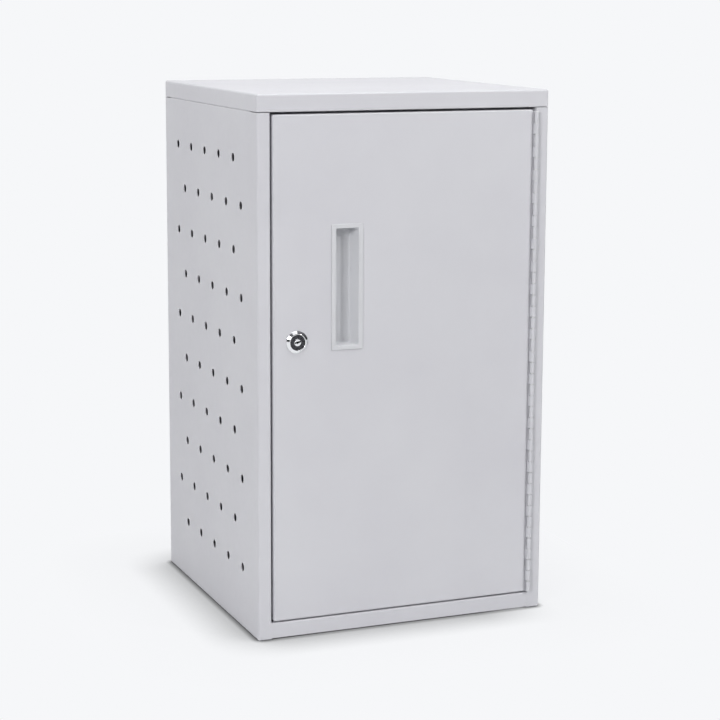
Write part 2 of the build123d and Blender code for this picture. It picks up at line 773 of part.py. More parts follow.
def lock_housing():
    """Lock body with two flats behind the door and a coned face ring in front of it."""
    bore = PLUG_RADIUS + PLUG_FIT
    ring = turned([
        (bore, 0), (RING_RADIUS, 0), (RING_RADIUS, -RING_EDGE),
        (RING_CROWN_RADIUS, -RING_PROUD), (WELL_RADIUS, -RING_PROUD),
        (WELL_RADIUS, WELL_DEPTH - RING_PROUD), (bore, WELL_DEPTH - RING_PROUD),
    ])
    body = lock_bar(FRONT, FRONT + LOCK_BODY_END, 0)
    return ring + (body - rod_y(LOCK_X, LOCK_Z, FRONT - SHEET, CAM_BACK, bore))


def lock_nut():
    thickness = LOCK_NUT_THICKNESS
    nut = Pos(LOCK_X, DOOR_INNER + thickness / 2, LOCK_Z) * Rot(90, 0, 0)
    nut = nut * hexagon(LOCK_NUT_FLATS, thickness)
    return nut - rod_y(LOCK_X, LOCK_Z, FRONT, CAM_BACK, LOCK_THREAD_RADIUS + NUT_FIT)


def lock_plug():
    """Turning plug: face disc, key core with its slot, shaft, and a square tail for the cam."""
    disc_back = WELL_DEPTH - RING_PROUD - PLUG_DISC_LIFT
    disc_front = disc_back - PLUG_DISC_THICKNESS
    plug = turned([
        (0, CAM_FRONT - FRONT), (PLUG_RADIUS, CAM_FRONT - FRONT), (PLUG_RADIUS, disc_back),
        (PLUG_DISC_RADIUS, disc_back), (PLUG_DISC_RADIUS, disc_front),
        (CORE_RADIUS, disc_front), (CORE_RADIUS, disc_front - CORE_PROUD),
        (0, disc_front - CORE_PROUD),
    ])
    half = CAM_SQUARE / 2
    plug += block(LOCK_X - half, LOCK_X + half, CAM_FRONT - SHEET, CAM_BACK - CAM_TAIL_SHORT,
                  LOCK_Z - half, LOCK_Z + half)
    face = FRONT + disc_front - CORE_PROUD
    plug -= block(
        LOCK_X - KEY_SLOT_LENGTH / 2, LOCK_X + KEY_SLOT_LENGTH / 2, face - SHEET,
        face + KEY_SLOT_DEPTH, LOCK_Z - KEY_SLOT_WIDTH / 2, LOCK_Z + KEY_SLOT_WIDTH / 2,
    )
    hole_end = CAM_BACK + CAM_WASHER - CAM_SCREW_LENGTH - CAM_SCREW_SPARE
    return plug - rod_y(LOCK_X, LOCK_Z, hole_end, CAM_BACK, CAM_SCREW_RADIUS + NUT_FIT)


def lock_cam():
    """Flat cam on the square of the plug; it hangs straight down when unlocked."""
    half_w = CAM_WIDTH / 2
    tip = CAM_REACH - half_w
    flat = Circle(half_w) + Pos(0, -tip / 2) * Rectangle(CAM_WIDTH, tip) + Pos(0, -tip) * Circle(half_w)
    flat -= Rectangle(CAM_SQUARE + 2 * CAM_SQUARE_FIT, CAM_SQUARE + 2 * CAM_SQUARE_FIT)
    return along_y(Pos(LOCK_X, LOCK_Z) * flat, CAM_FRONT, CAM_BACK)


def cam_washer():
    back = CAM_BACK + CAM_WASHER
    ring = rod_y(LOCK_X, LOCK_Z, CAM_BACK, back, CAM_WASHER_RADIUS)
    return ring - rod_y(LOCK_X, LOCK_Z, CAM_FRONT, back + CAM_WASHER, CAM_SCREW_RADIUS + NUT_FIT)


def cam_screw():
    seat = CAM_BACK + CAM_WASHER
    head = Pos(LOCK_X, seat + CAM_SCREW_HEAD_THICKNESS / 2, LOCK_Z) * Rot(90, 0, 0)
    head = head * hexagon(CAM_SCREW_HEAD, CAM_SCREW_HEAD_THICKNESS)
    return head + rod_y(LOCK_X, LOCK_Z, seat - CAM_SCREW_LENGTH, seat, CAM_SCREW_RADIUS)


CABINET = [
    left_side_panel, right_side_panel, back_panel, base_pan, top_lid, top_rail, stop_strip,
    strip_rivets, back_rivets, door_bumpers, lid_studs, lid_nuts, left_coat_hook, right_coat_hook,
]
HINGE = [hinge_post_leaf, hinge_door_leaf, hinge_pin, hinge_post_rivets, hinge_door_rivets]
DOOR = [door_skin, door_stiffener, handle_cup, handle_bracket, handle_nuts]
LOCK = [lock_housing, lock_nut, lock_plug, lock_cam, cam_washer, cam_screw]

os.makedirs("parts", exist_ok=True)
for piece in CABINET + HINGE + DOOR + LOCK:
    export_step(piece(), f"parts/{piece.__name__}.step")
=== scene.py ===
"""Looks of the sheet-steel locker cabinet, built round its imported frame. Metres throughout."""
import json
from math import pi, radians

import bmesh
import bpy
from mathutils import Matrix, Vector


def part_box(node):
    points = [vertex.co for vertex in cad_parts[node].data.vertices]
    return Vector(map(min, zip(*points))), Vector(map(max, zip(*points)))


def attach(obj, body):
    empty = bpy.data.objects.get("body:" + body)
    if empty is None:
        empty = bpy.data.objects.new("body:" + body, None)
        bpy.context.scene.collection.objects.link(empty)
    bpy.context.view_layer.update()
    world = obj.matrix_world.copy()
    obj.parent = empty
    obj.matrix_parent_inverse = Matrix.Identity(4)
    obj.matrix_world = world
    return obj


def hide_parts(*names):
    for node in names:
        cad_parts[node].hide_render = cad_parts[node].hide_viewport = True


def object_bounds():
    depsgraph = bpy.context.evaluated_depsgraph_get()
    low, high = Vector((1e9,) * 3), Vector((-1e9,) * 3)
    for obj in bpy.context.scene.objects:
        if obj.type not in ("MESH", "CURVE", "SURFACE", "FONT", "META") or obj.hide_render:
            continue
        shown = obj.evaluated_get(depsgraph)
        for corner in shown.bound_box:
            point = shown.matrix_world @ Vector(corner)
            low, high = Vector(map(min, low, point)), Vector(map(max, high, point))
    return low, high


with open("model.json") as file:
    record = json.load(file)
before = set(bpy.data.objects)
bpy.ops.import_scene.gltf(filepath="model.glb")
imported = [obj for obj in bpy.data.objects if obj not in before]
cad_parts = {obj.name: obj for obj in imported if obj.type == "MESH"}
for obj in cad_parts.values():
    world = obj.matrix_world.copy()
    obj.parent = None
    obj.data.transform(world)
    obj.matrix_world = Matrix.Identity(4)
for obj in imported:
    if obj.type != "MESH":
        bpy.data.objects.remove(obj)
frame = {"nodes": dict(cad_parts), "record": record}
cad_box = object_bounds()

MM = 0.001

# Edges
SHEET_EDGE = 0.25 * MM        # rounding that the powder coat gives a cut edge
SEAM_EDGE = 0.55 * MM         # folds of the sides and the lid where they meet
HINGE_EDGE = 0.15 * MM
SMALL_EDGE = 0.3 * MM         # nuts, washers and the cam
SHARP_ANGLE = radians(28)
FLAT_ANGLE = radians(0.4)
WELD = 0.001 * MM             # vertices closer than this are one

# Handle cup
MOUTH_WIDTH = 26.6 * MM
MOUTH_HEIGHT = 128.8 * MM
CUP_RECESS = 16.0 * MM
CUP_DRAFT_X = 5.0 * MM
CUP_DRAFT_Z = 0.6 * MM
CUP_WALL = 1.8 * MM
BEZEL_PROUD = 1.2 * MM
BEZEL_CORNER = 1.2 * MM
BEZEL_EDGE = 0.5 * MM
BEZEL_SEAT = 0.35 * MM        # shadow line between the bezel and the door
MOUTH_EDGE = 0.55 * MM
CUP_CORNER = 1.6 * MM
CUP_FLOOR_ROUND = 3.0 * MM
CUP_STUD_RADIUS = 2.0 * MM
CUP_STUD_EDGE = 0.3 * MM
STUD_STEPS = 24

# Lock
RING_RADIUS = 12.5 * MM
RING_PROUD = 2.9 * MM
RING_RIM = 0.8 * MM           # upright rim of the ring before its cone starts
RING_CROWN = 9.5 * MM         # radius at which the cone ends
RING_ROUND = 0.45 * MM
WELL_RADIUS = 8.6 * MM
WELL_DEPTH = 1.3 * MM
PLUG_RADIUS = 5.5 * MM
PLUG_FIT = 0.05 * MM
DISC_RADIUS = 8.2 * MM
DISC_THICKNESS = 0.6 * MM
DISC_LIFT = 0.1 * MM          # from the floor of the well
DISC_EDGE = 0.2 * MM
CORE_RADIUS = 4.2 * MM
CORE_SUNK = 0.3 * MM          # rim of the domed key core below the face disc
CORE_FLANGE = 0.3 * MM        # step between the core and the shaft
CORE_BULGE = 0.07             # share of the dome's height in its shallow middle
CORE_ROLL = 24                # power by which the rest of it rolls over at the rim
CORE_RINGS = (1, 0.985, 0.96, 0.93, 0.88, 0.8, 0.7, 0.55, 0.4, 0.2, 0)
KEY_SLOT_DEPTH = 7.0 * MM
KEY_SLOT_REACH = 4.0 * MM
SQUARE_WIDTH = 7.0 * MM       # the plug's square end that turns the cam
SQUARE_LENGTH = 3.5 * MM
SHAFT_SHORT = 2.5 * MM        # from the end of the round shaft to the end of the square
THREAD_RADIUS = 9.4 * MM
THREAD_PITCH = 1.0 * MM
THREAD_DEPTH = 0.45 * MM
THREAD_CREST = (0.35, 0.6)    # where in each pitch the crest starts and ends
THREAD_START = 1.4 * MM
THREAD_STOP = 0.6 * MM
THREAD_LEAD = 0.4 * MM        # chamfer at the end of the thread
LOCK_FLAT = 8.0 * MM
TURN_STEPS = 96

# Sheet and hinge leaves
SHEET = 0.8 * MM
LEAF = 1.1 * MM

# Rivets and bumpers
RIVET_HEAD = 3.0 * MM
RIVET_HEAD_THICKNESS = 0.8 * MM
RIVET_BULB = 2.4 * MM
RIVET_SHANK = 1.6 * MM
STRIP_FIT = 0.2 * MM          # between the stop strip and the post's return
MANDREL = 0.75 * MM
RIVET_STEPS = 28
BUMPER_STEM = 2.0 * MM
BUMPER_TAIL = 3.2 * MM
BUMPER_TAIL_LENGTH = 1.8 * MM
BUMPER_STEPS = 40

BODY_OF = {
    name: body for body, names in frame["record"]["behaviour"]["bodies"].items() for name in names
}


# ---- materials ----

def add_node(tree, kind, inputs=None, **settings):
    """A node with its settings; an input takes a plain value or another node's output."""
    node = tree.nodes.new(kind)
    for name, value in settings.items():
        setattr(node, name, value)
    for name, value in (inputs or {}).items():
        if isinstance(value, bpy.types.NodeSocket):
            tree.links.new(value, node.inputs[name])
        else:
            node.inputs[name].default_value = value
    return node


def scalar_math(tree, operation, first, second):
    return add_node(tree, "ShaderNodeMath", {0: first, 1: second}, operation=operation).outputs[0]


def new_finish(name, **constants):
    """A material with its tree, its shader and the object coordinates."""
    material = bpy.data.materials.new(name)
    material.use_nodes = True
    tree = material.node_tree
    shader = tree.nodes["Principled BSDF"]
    for socket, value in constants.items():
        shader.inputs[socket.replace("_", " ")].default_value = value
    coords = add_node(tree, "ShaderNodeTexCoord").outputs["Object"]
    return material, tree, shader, coords


def grain(tree, coords, scale, detail=2.0, roughness=0.5):
    """Fractal noise at so many features to the metre."""
    noise = add_node(tree, "ShaderNodeTexNoise",
                     {"Vector": coords, "Scale": scale, "Detail": detail, "Roughness": roughness})
    return noise.outputs["Fac"]


def spread(tree, value, low, high, start=0.3, stop=0.7):
    """A value's stretch from start to stop mapped to a range and held at its ends."""
    mapped = add_node(tree, "ShaderNodeMapRange", {
        "Value": value, "From Min": start, "From Max": stop, "To Min": low, "To Max": high,
    })
    return mapped.outputs["Result"]


def blend_colours(tree, factor, first, second):
    """Mix of two colours, each a plain value or another node's output."""
    ends = [end if isinstance(end, bpy.types.NodeSocket) else (*end, 1) for end in (first, second)]
    mix = add_node(tree, "ShaderNodeMix", {0: factor, 6: ends[0], 7: ends[1]}, data_type="RGBA")
    return mix.outputs[2]


def bumped(tree, shader, height, distance, strength=1.0):
    bump = add_node(tree, "ShaderNodeBump",
                    {"Height": height, "Distance": distance, "Strength": strength})
    tree.links.new(bump.outputs["Normal"], shader.inputs["Normal"])


def powder_coat():
    """Light grey powder coat: fine orange peel and a faint unevenness of colour and gloss."""
    material, tree, shader, coords = new_finish("powder_coat", Specular_IOR_Level=0.45)
    cloud = grain(tree, coords, 9, detail=3)
    colour = blend_colours(tree, spread(tree, cloud, 0, 1), (0.585, 0.583, 0.618), (0.612, 0.612, 0.643))
    tree.links.new(colour, shader.inputs["Base Color"])
    tree.links.new(spread(tree, grain(tree, coords, 140), 0.40, 0.48), shader.inputs["Roughness"])
    bumped(tree, shader, grain(tree, coords, 620, detail=2), 0.05 * MM, 0.5)
    return material


def cup_plastic():
    """Moulded grey plastic with a fine spark-eroded grain."""
    material, tree, shader, coords = new_finish("cup_plastic", Specular_IOR_Level=0.5)
    cloud = grain(tree, coords, 30, detail=2)
    colour = blend_colours(tree, spread(tree, cloud, 0, 1), (0.590, 0.596, 0.622), (0.612, 0.617, 0.640))
    tree.links.new(colour, shader.inputs["Base Color"])
    tree.links.new(spread(tree, grain(tree, coords, 300), 0.36, 0.44), shader.inputs["Roughness"])
    bumped(tree, shader, grain(tree, coords, 1500, detail=1), 0.03 * MM, 0.4)
    return material


def bright_chrome():
    """Polished chrome with hair-fine handling marks."""
    material, tree, shader, coords = new_finish("bright_chrome", Metallic=1.0)
    smear = grain(tree, coords, 260, detail=4)
    colour = blend_colours(tree, spread(tree, smear, 0, 1), (0.80, 0.81, 0.83), (0.88, 0.89, 0.90))
    tree.links.new(colour, shader.inputs["Base Color"])
    tree.links.new(spread(tree, smear, 0.05, 0.12), shader.inputs["Roughness"])
    bumped(tree, shader, grain(tree, coords, 900, detail=2), 0.01 * MM, 0.3)
    return material


def dark_nickel():
    """Dark satin plate of the lock's face disc."""
    material, tree, shader, coords = new_finish("dark_nickel", Metallic=1.0)
    smear = grain(tree, coords, 500, detail=3)
    colour = blend_colours(tree, spread(tree, smear, 0, 1), (0.045, 0.045, 0.050), (0.095, 0.095, 0.105))
    tree.links.new(colour, shader.inputs["Base Color"])
    tree.links.new(spread(tree, smear, 0.22, 0.40), shader.inputs["Roughness"])
    bumped(tree, shader, grain(tree, coords, 1800, detail=2), 0.02 * MM, 0.5)
    return material


def key_slot_painted_shade():
    """Near-black painted shade for the inside of the key slot, with a faint random mottle."""
    material, tree, shader, coords = new_finish("key_slot_painted_shade", Metallic=0.4)
    slot_mottle = grain(tree, coords, 1200, detail=3)
    colour = blend_colours(tree, spread(tree, slot_mottle, 0, 1), (0.006, 0.006, 0.006), (0.022, 0.020, 0.017))
    tree.links.new(colour, shader.inputs["Base Color"])
    tree.links.new(spread(tree, slot_mottle, 0.5, 0.75), shader.inputs["Roughness"])
    bumped(tree, shader, slot_mottle, 0.02 * MM, 0.5)
    return material


def bright_zinc():
    """Zinc plate on steel: small spangles and cloudy gloss."""
    material, tree, shader, coords = new_finish("bright_zinc", Metallic=1.0)
    spangle = add_node(tree, "ShaderNodeTexVoronoi", {"Vector": coords, "Scale": 900.0})
    cloud = grain(tree, coords, 120, detail=4)
    mixed = scalar_math(tree, "MULTIPLY", spangle.outputs["Distance"], cloud)
    colour = blend_colours(tree, spread(tree, mixed, 0, 1, 0.05, 0.45),
                           (0.62, 0.63, 0.64), (0.76, 0.76, 0.74))
    tree.links.new(colour, shader.inputs["Base Color"])
    tree.links.new(spread(tree, cloud, 0.28, 0.45), shader.inputs["Roughness"])
    bumped(tree, shader, cloud, 0.02 * MM, 0.4)
    return material


def black_rubber():
    """Matt moulded rubber."""
    material, tree, shader, coords = new_finish("black_rubber", Specular_IOR_Level=0.3)
    dust = grain(tree, coords, 400, detail=3)
    colour = blend_colours(tree, spread(tree, dust, 0, 1), (0.022, 0.022, 0.023), (0.045, 0.045, 0.046))
    tree.links.new(colour, shader.inputs["Base Color"])
    tree.links.new(spread(tree, dust, 0.72, 0.88), shader.inputs["Roughness"])
    bumped(tree, shader, dust, 0.04 * MM, 0.5)
    return material


PAINT = powder_coat()
PLASTIC = cup_plastic()
CHROME = bright_chrome()
NICKEL = dark_nickel()
# near-black painted shade for the inside of the key slot
SLOT_SHADE = key_slot_painted_shade()
ZINC = bright_zinc()
RUBBER = black_rubber()


# ---- shaping ----

def piece(name, shape, body, materials, replaces=None, sharp=SHARP_ANGLE):
    """Finish a bmesh into an object that rides on its body."""
    mesh = bpy.data.meshes.new(name)
    shape.to_mesh(mesh)
    shape.free()
    for material in materials:
        mesh.materials.append(material)
    mesh.polygons.foreach_set("use_smooth", [True] * len(mesh.polygons))
    mesh.set_sharp_from_angle(angle=sharp)
    made = bpy.data.objects.new(name, mesh)
    bpy.context.scene.collection.objects.link(made)
    weighted = made.modifiers.new("even_shading", "WEIGHTED_NORMAL")
    weighted.keep_sharp = True
    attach(made, body)
    if replaces:
        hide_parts(replaces)
    return made


def copy_of(node):
    """The node's own solid as one closed, merged shape."""
    shape = bmesh.new()
    shape.from_mesh(frame["nodes"][node].data)
    bmesh.ops.remove_doubles(shape, verts=shape.verts, dist=WELD)
    bmesh.ops.dissolve_limit(shape, angle_limit=FLAT_ANGLE, verts=shape.verts, edges=shape.edges)
    return shape


def round_edges(shape, edges, radius, steps):
    if edges:
        bmesh.ops.bevel(shape, geom=edges, offset=radius, offset_type="OFFSET", segments=steps,
                        profile=0.5, affect="EDGES", clamp_overlap=True, material=-1)


def sharp_edges(shape):
    return [e for e in shape.edges if len(e.link_faces) == 2 and e.calc_face_angle(0) > SHARP_ANGLE]


LID_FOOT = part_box("top_lid")[0].z
BODY_SIDE = cad_box[1][0]


def at_side_seam(edge):
    """Whether an edge runs along the outside, where a side meets the lid."""
    return all(abs(v.co.z - LID_FOOT) < SHEET / 2 and BODY_SIDE - abs(v.co.x) < WELD for v in edge.verts)


def dressed(node, material, edge=SHEET_EDGE, steps=2):
    """A node's solid with its cut edges rounded over by the finish."""
    shape = copy_of(node)
    round_edges(shape, [e for e in sharp_edges(shape) if at_side_seam(e)], SEAM_EDGE, 4)
    round_edges(shape, sharp_edges(shape), edge, steps)
    return piece(node + "_finished", shape, BODY_OF[node], [material], node)


def turned(profile, centre, steps=TURN_STEPS):
    """A shape spun about the front-to-back axis through centre from (radius, depth) points."""
    shape = bmesh.new()
    ring = [shape.verts.new(centre + Vector((radius, depth, 0))) for radius, depth in profile]
    line = [shape.edges.new(pair) for pair in zip(ring, ring[1:] + ring[:1])]
    bmesh.ops.spin(shape, geom=ring + line, cent=centre, axis=(0, 1, 0), angle=2 * pi,
                   steps=steps, use_merge=True, use_duplicate=False)
    bmesh.ops.remove_doubles(shape, verts=shape.verts, dist=WELD)
    bmesh.ops.recalc_face_normals(shape, faces=shape.faces)
    return shape


def rounded(points, radius, steps=4):
    """Profile points with every corner cut to an arc of about that radius."""
    smooth = []
    count = len(points)
    for index, point in enumerate(points):
        here = Vector(point)
        before = Vector(points[index - 1]) - here
        after = Vector(points[(index + 1) % count]) - here
        if point[0] < WELD:
            smooth.append(here)
            continue
        reach = min(radius, before.length / 2.5, after.length / 2.5)
        start = here + before.normalized() * reach
        stop = here + after.normalized() * reach
        for step in range(steps + 1):
            t = step / steps
            smooth.append(start * (1 - t) ** 2 + here * 2 * t * (1 - t) + stop * t ** 2)
    return [tuple(point) for point in smooth]


def loose_solids(node):
    """Lowest and highest corner of each separate solid in a node, from the top down."""
    shape = copy_of(node)
    waiting = set(shape.verts)
    boxes = []
    while waiting:
        front = [waiting.pop()]
        found = list(front)
        while front:
            vert = front.pop()
            for edge in vert.link_edges:
                other = edge.other_vert(vert)
                if other in waiting:
                    waiting.remove(other)
                    front.append(other)
                    found.append(other)
        low = Vector([min(v.co[axis] for v in found) for axis in range(3)])
        high = Vector([max(v.co[axis] for v in found) for axis in range(3)])
        boxes.append((low, high))
    shape.free()
    return sorted(boxes, key=lambda box: (-box[0].z, box[0].x))


def merge(whole, part):
    """Move one bmesh into another."""
    mesh = bpy.data.meshes.new("merging")
    part.to_mesh(mesh)
    part.free()
    whole.from_mesh(mesh)
    bpy.data.meshes.remove(mesh)


# ---- handle ----

def handle_cup():
    """Moulded cup: bezel on the door face, drafted recess, outer wall, and a stud in each nut."""
    low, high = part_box("handle_cup")
    centre = (low + high) / 2
    door_face = low.y + BEZEL_PROUD
    shape = bmesh.new()
    bmesh.ops.create_cube(shape, size=1)
    size = Vector((high.x - low.x, BEZEL_PROUD, high.z - low.z))
    bmesh.ops.scale(shape, vec=size, verts=shape.verts)
    bmesh.ops.translate(shape, vec=(centre.x, low.y + BEZEL_PROUD / 2, centre.z), verts=shape.verts)

    def stepped(face, width, height):
        """Inset a face to a rectangle of that size."""
        bmesh.ops.inset_region(shape, faces=[face], thickness=BEZEL_PROUD, depth=0, use_even_offset=True)
        for vert in face.verts:
            vert.co.x = centre.x + (width / 2 if vert.co.x > centre.x else -width / 2)
            vert.co.z = centre.z + (height / 2 if vert.co.z > centre.z else -height / 2)
        return face

    def pushed(face, y, draft_x, draft_z):
        """Extrude a face to a depth while its sides close in."""
        made = bmesh.ops.extrude_discrete_faces(shape, faces=[face])["faces"][0]
        for vert in made.verts:
            vert.co.y = y
            vert.co.x -= draft_x if vert.co.x > centre.x else -draft_x
            vert.co.z -= draft_z if vert.co.z > centre.z else -draft_z
        return made

    shape.faces.ensure_lookup_table()
    front = min(shape.faces, key=lambda f: f.calc_center_median().y)
    mouth = stepped(front, MOUTH_WIDTH, MOUTH_HEIGHT)
    floor = pushed(mouth, low.y + CUP_RECESS, CUP_DRAFT_X, CUP_DRAFT_Z)
    back = max((f for f in shape.faces if f.normal.y > 0.9), key=lambda f: f.calc_area())
    skirt = stepped(back, MOUTH_WIDTH + 2 * CUP_WALL, MOUTH_HEIGHT + 2 * CUP_WALL)
    rear = pushed(skirt, low.y + CUP_RECESS + CUP_WALL, CUP_DRAFT_X, CUP_DRAFT_Z)

    def upright_corners(face):
        """Edges that run from the corners of a pushed face back to its start."""
        rim = set(face.edges)
        return [e for v in face.verts for e in v.link_edges if e not in rim]

    round_edges(shape, upright_corners(floor) + upright_corners(rear), CUP_CORNER, 4)
    shape.normal_update()
    flat_floor = max((f for f in shape.faces if f.normal.y < -0.99 and
                      abs(f.calc_center_median().y - low.y - CUP_RECESS) < WELD),
                     key=lambda f: f.calc_area())
    round_edges(shape, list(flat_floor.edges), CUP_FLOOR_ROUND, 6)
    shape.normal_update()

    def at_face(edge, y):
        return all(abs(v.co.y - y) < WELD for v in edge.verts)

    def beyond(edge, margin):
        """Whether an edge reaches outside the mouth by more than a margin."""
        across = max(abs(v.co.x - centre.x) for v in edge.verts) - MOUTH_WIDTH / 2
        along = max(abs(v.co.z - centre.z) for v in edge.verts) - MOUTH_HEIGHT / 2
        return max(across, along) > margin

    inner = [e for e in sharp_edges(shape) if at_face(e, low.y) and not beyond(e, CUP_WALL)]
    corners = [e for e in sharp_edges(shape)
               if abs(e.verts[0].co.x - e.verts[1].co.x) < WELD
               and abs(e.verts[0].co.z - e.verts[1].co.z) < WELD
               and max(v.co.y for v in e.verts) < door_face + WELD
               and abs(e.verts[0].co.x - centre.x) > MOUTH_WIDTH / 2 + CUP_WALL]
    round_edges(shape, inner, MOUTH_EDGE, 3)
    round_edges(shape, [e for e in corners if e.is_valid], BEZEL_CORNER, 4)
    for depth, radius in ((low.y, BEZEL_EDGE), (door_face, BEZEL_SEAT)):
        rim = [e for e in sharp_edges(shape) if at_face(e, depth) and beyond(e, 2 * CUP_WALL)]
        round_edges(shape, rim, radius, 3)
    stud_start = low.y + CUP_RECESS + CUP_WALL / 2
    for nut_low, nut_high in loose_solids("handle_nuts"):
        middle = (nut_low + nut_high) / 2
        profile = rounded([
            (0, stud_start), (CUP_STUD_RADIUS, stud_start), (CUP_STUD_RADIUS, high.y), (0, high.y),
        ], CUP_STUD_EDGE)
        merge(shape, turned(profile, Vector((middle.x, 0, middle.z)), STUD_STEPS))
    return piece("handle_cup_moulding", shape, "door", [PLASTIC], "handle_cup",
                 sharp=radians(40))


# ---- lock ----

LOCK_LOW, LOCK_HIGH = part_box("lock_housing")
LOCK_CENTRE = (LOCK_LOW + LOCK_HIGH) / 2
LOCK_AXIS = Vector((LOCK_CENTRE.x, 0, LOCK_CENTRE.z))
DOOR_FACE = LOCK_LOW.y + RING_PROUD


def threaded(y0, y1):
    """Profile points of the lock's thread from y0 to y1: crests and roots."""
    root = THREAD_RADIUS - THREAD_DEPTH
    points = []
    for turn in range(int((y1 - y0) / THREAD_PITCH)):
        start = y0 + turn * THREAD_PITCH
        points.append((root, start))
        points += [(THREAD_RADIUS, start + share * THREAD_PITCH) for share in THREAD_CREST]
    return points + [(root, y1)]


def lock_housing():
    """Polished face ring, and behind it the threaded body with its two flats."""
    bore = PLUG_RADIUS + PLUG_FIT
    root = THREAD_RADIUS - THREAD_DEPTH
    face, crown = DOOR_FACE, DOOR_FACE - RING_PROUD
    back = LOCK_HIGH.y
    ring = turned(rounded([
        (bore, face), (RING_RADIUS, face), (RING_RADIUS, face - RING_RIM), (RING_CROWN, crown),
        (WELL_RADIUS, crown), (WELL_RADIUS, crown + WELL_DEPTH), (bore, crown + WELL_DEPTH),
    ], RING_ROUND, 5), LOCK_AXIS)
    body = turned(
        [(bore, face), (root, face)] + threaded(face + THREAD_START, back - THREAD_STOP)
        + [(root, back - THREAD_LEAD), (root - THREAD_DEPTH, back), (bore, back)],
        LOCK_AXIS,
    )
    for vert in body.verts:
        offset = vert.co.z - LOCK_AXIS.z
        vert.co.z = LOCK_AXIS.z + max(-LOCK_FLAT, min(LOCK_FLAT, offset))
    merge(ring, body)
    return piece("lock_barrel_and_ring", ring, "door", [CHROME], "lock_housing",
                 sharp=radians(45))


def key_slot_cutter(face, depth):
    """Curved slot with a ward in its lower side, as a closed prism."""
    outline = [
        (-3.7, -1.1), (-2.2, -1.2), (-0.9, -0.9), (0.0, -1.9), (0.9, -0.6), (2.4, -0.3), (3.7, 0.3),
        (3.7, 1.7), (1.6, 1.5), (-0.6, 1.1), (-2.4, 0.6), (-3.7, 0.3),
    ]
    shape = bmesh.new()
    verts = [shape.verts.new(LOCK_AXIS + Vector((x * MM, face, z * MM))) for x, z in outline]
    front = shape.faces.new(verts)
    made = bmesh.ops.extrude_face_region(shape, geom=[front])["geom"]
    moved = [v for v in made if isinstance(v, bmesh.types.BMVert)]
    bmesh.ops.translate(shape, vec=(0, depth, 0), verts=moved)
    bmesh.ops.recalc_face_normals(shape, faces=shape.faces)
    return shape


def cut(shape, cutter):
    """One shape less another, by an exact boolean."""
    pieces = []
    for name, source in (("stock", shape), ("cutter", cutter)):
        mesh = bpy.data.meshes.new(name)
        source.to_mesh(mesh)
        source.free()
        holder = bpy.data.objects.new(name, mesh)
        bpy.context.scene.collection.objects.link(holder)
        pieces.append(holder)
    stock, tool = pieces
    boolean = stock.modifiers.new("cut", "BOOLEAN")
    boolean.operation = "DIFFERENCE"
    boolean.solver = "EXACT"
    boolean.object = tool
    graph = bpy.context.evaluated_depsgraph_get()
    result = bmesh.new()
    result.from_object(stock, graph)
    for holder in pieces:
        mesh = holder.data
        bpy.data.objects.remove(holder)
        bpy.data.meshes.remove(mesh)
    return result


def lock_plug():
    """Turning plug: dark face disc, domed bright key core with its slot, and shaft."""
    low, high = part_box("lock_plug")
    disc_back = DOOR_FACE - RING_PROUD + WELL_DEPTH - DISC_LIFT
    disc_front = disc_back - DISC_THICKNESS
    disc = turned(rounded([
        (PLUG_RADIUS, disc_back), (DISC_RADIUS, disc_back), (DISC_RADIUS, disc_front),
        (CORE_RADIUS, disc_front), (CORE_RADIUS, disc_back),
    ], DISC_EDGE), LOCK_AXIS)
    dome = CORE_SUNK + disc_front - low.y
    cap = [
        (CORE_RADIUS * share,
         low.y + dome * (CORE_BULGE * share ** 2 + (1 - CORE_BULGE) * share ** CORE_ROLL))
        for share in CORE_RINGS
    ]
    stock = turned([
        (0, high.y - SHAFT_SHORT), (PLUG_RADIUS, high.y - SHAFT_SHORT),
        (PLUG_RADIUS, disc_back + CORE_FLANGE), (CORE_RADIUS, disc_back),
    ] + cap, LOCK_AXIS)
    shaft = cut(stock, key_slot_cutter(low.y - MM, KEY_SLOT_DEPTH + MM))
    # Faces inside the key slot get the second material, the near-black painted shade.
    for face in shaft.faces:
        middle = face.calc_center_median()
        depth = middle.y - low.y
        off_axis = (Vector((middle.x, 0, middle.z)) - LOCK_AXIS).length
        if MM < depth < KEY_SLOT_DEPTH + MM and off_axis < KEY_SLOT_REACH:
            face.material_index = 1
    piece("lock_face_disc", disc, "lock", [NICKEL], "lock_plug")
    square = bmesh.new()
    bmesh.ops.create_cube(square, size=1)
    bmesh.ops.scale(square, vec=(SQUARE_WIDTH, SQUARE_LENGTH, SQUARE_WIDTH), verts=square.verts)
    middle = LOCK_AXIS + Vector((0, high.y - SQUARE_LENGTH / 2, 0))
    bmesh.ops.translate(square, vec=middle, verts=square.verts)
    round_edges(square, list(square.edges), SMALL_EDGE, 2)
    merge(shaft, square)
    return piece("lock_key_core", shaft, "lock", [CHROME, SLOT_SHADE], "lock_plug")


# ---- rivets and bumpers ----

def rivet_profile(grip, bulb):
    """Blind rivet along +Y from its domed head: (radius, depth) points."""
    head = RIVET_HEAD_THICKNESS
    dome = [(MANDREL, 0.35 * head), (MANDREL, 0.12 * head), (0.4 * RIVET_HEAD, 0.04 * head),
            (0.7 * RIVET_HEAD, 0.3 * head), (0.9 * RIVET_HEAD, 0.62 * head), (RIVET_HEAD, head)]
    tail = [(RIVET_SHANK, head), (RIVET_SHANK, head + grip), (RIVET_BULB, head + grip + 0.3 * bulb),
            (0.9 * RIVET_BULB, head + grip + 0.8 * bulb), (0.5 * RIVET_BULB, head + grip + bulb),
            (0, head + grip + bulb)]
    return [(0, 0.35 * head)] + dome + tail


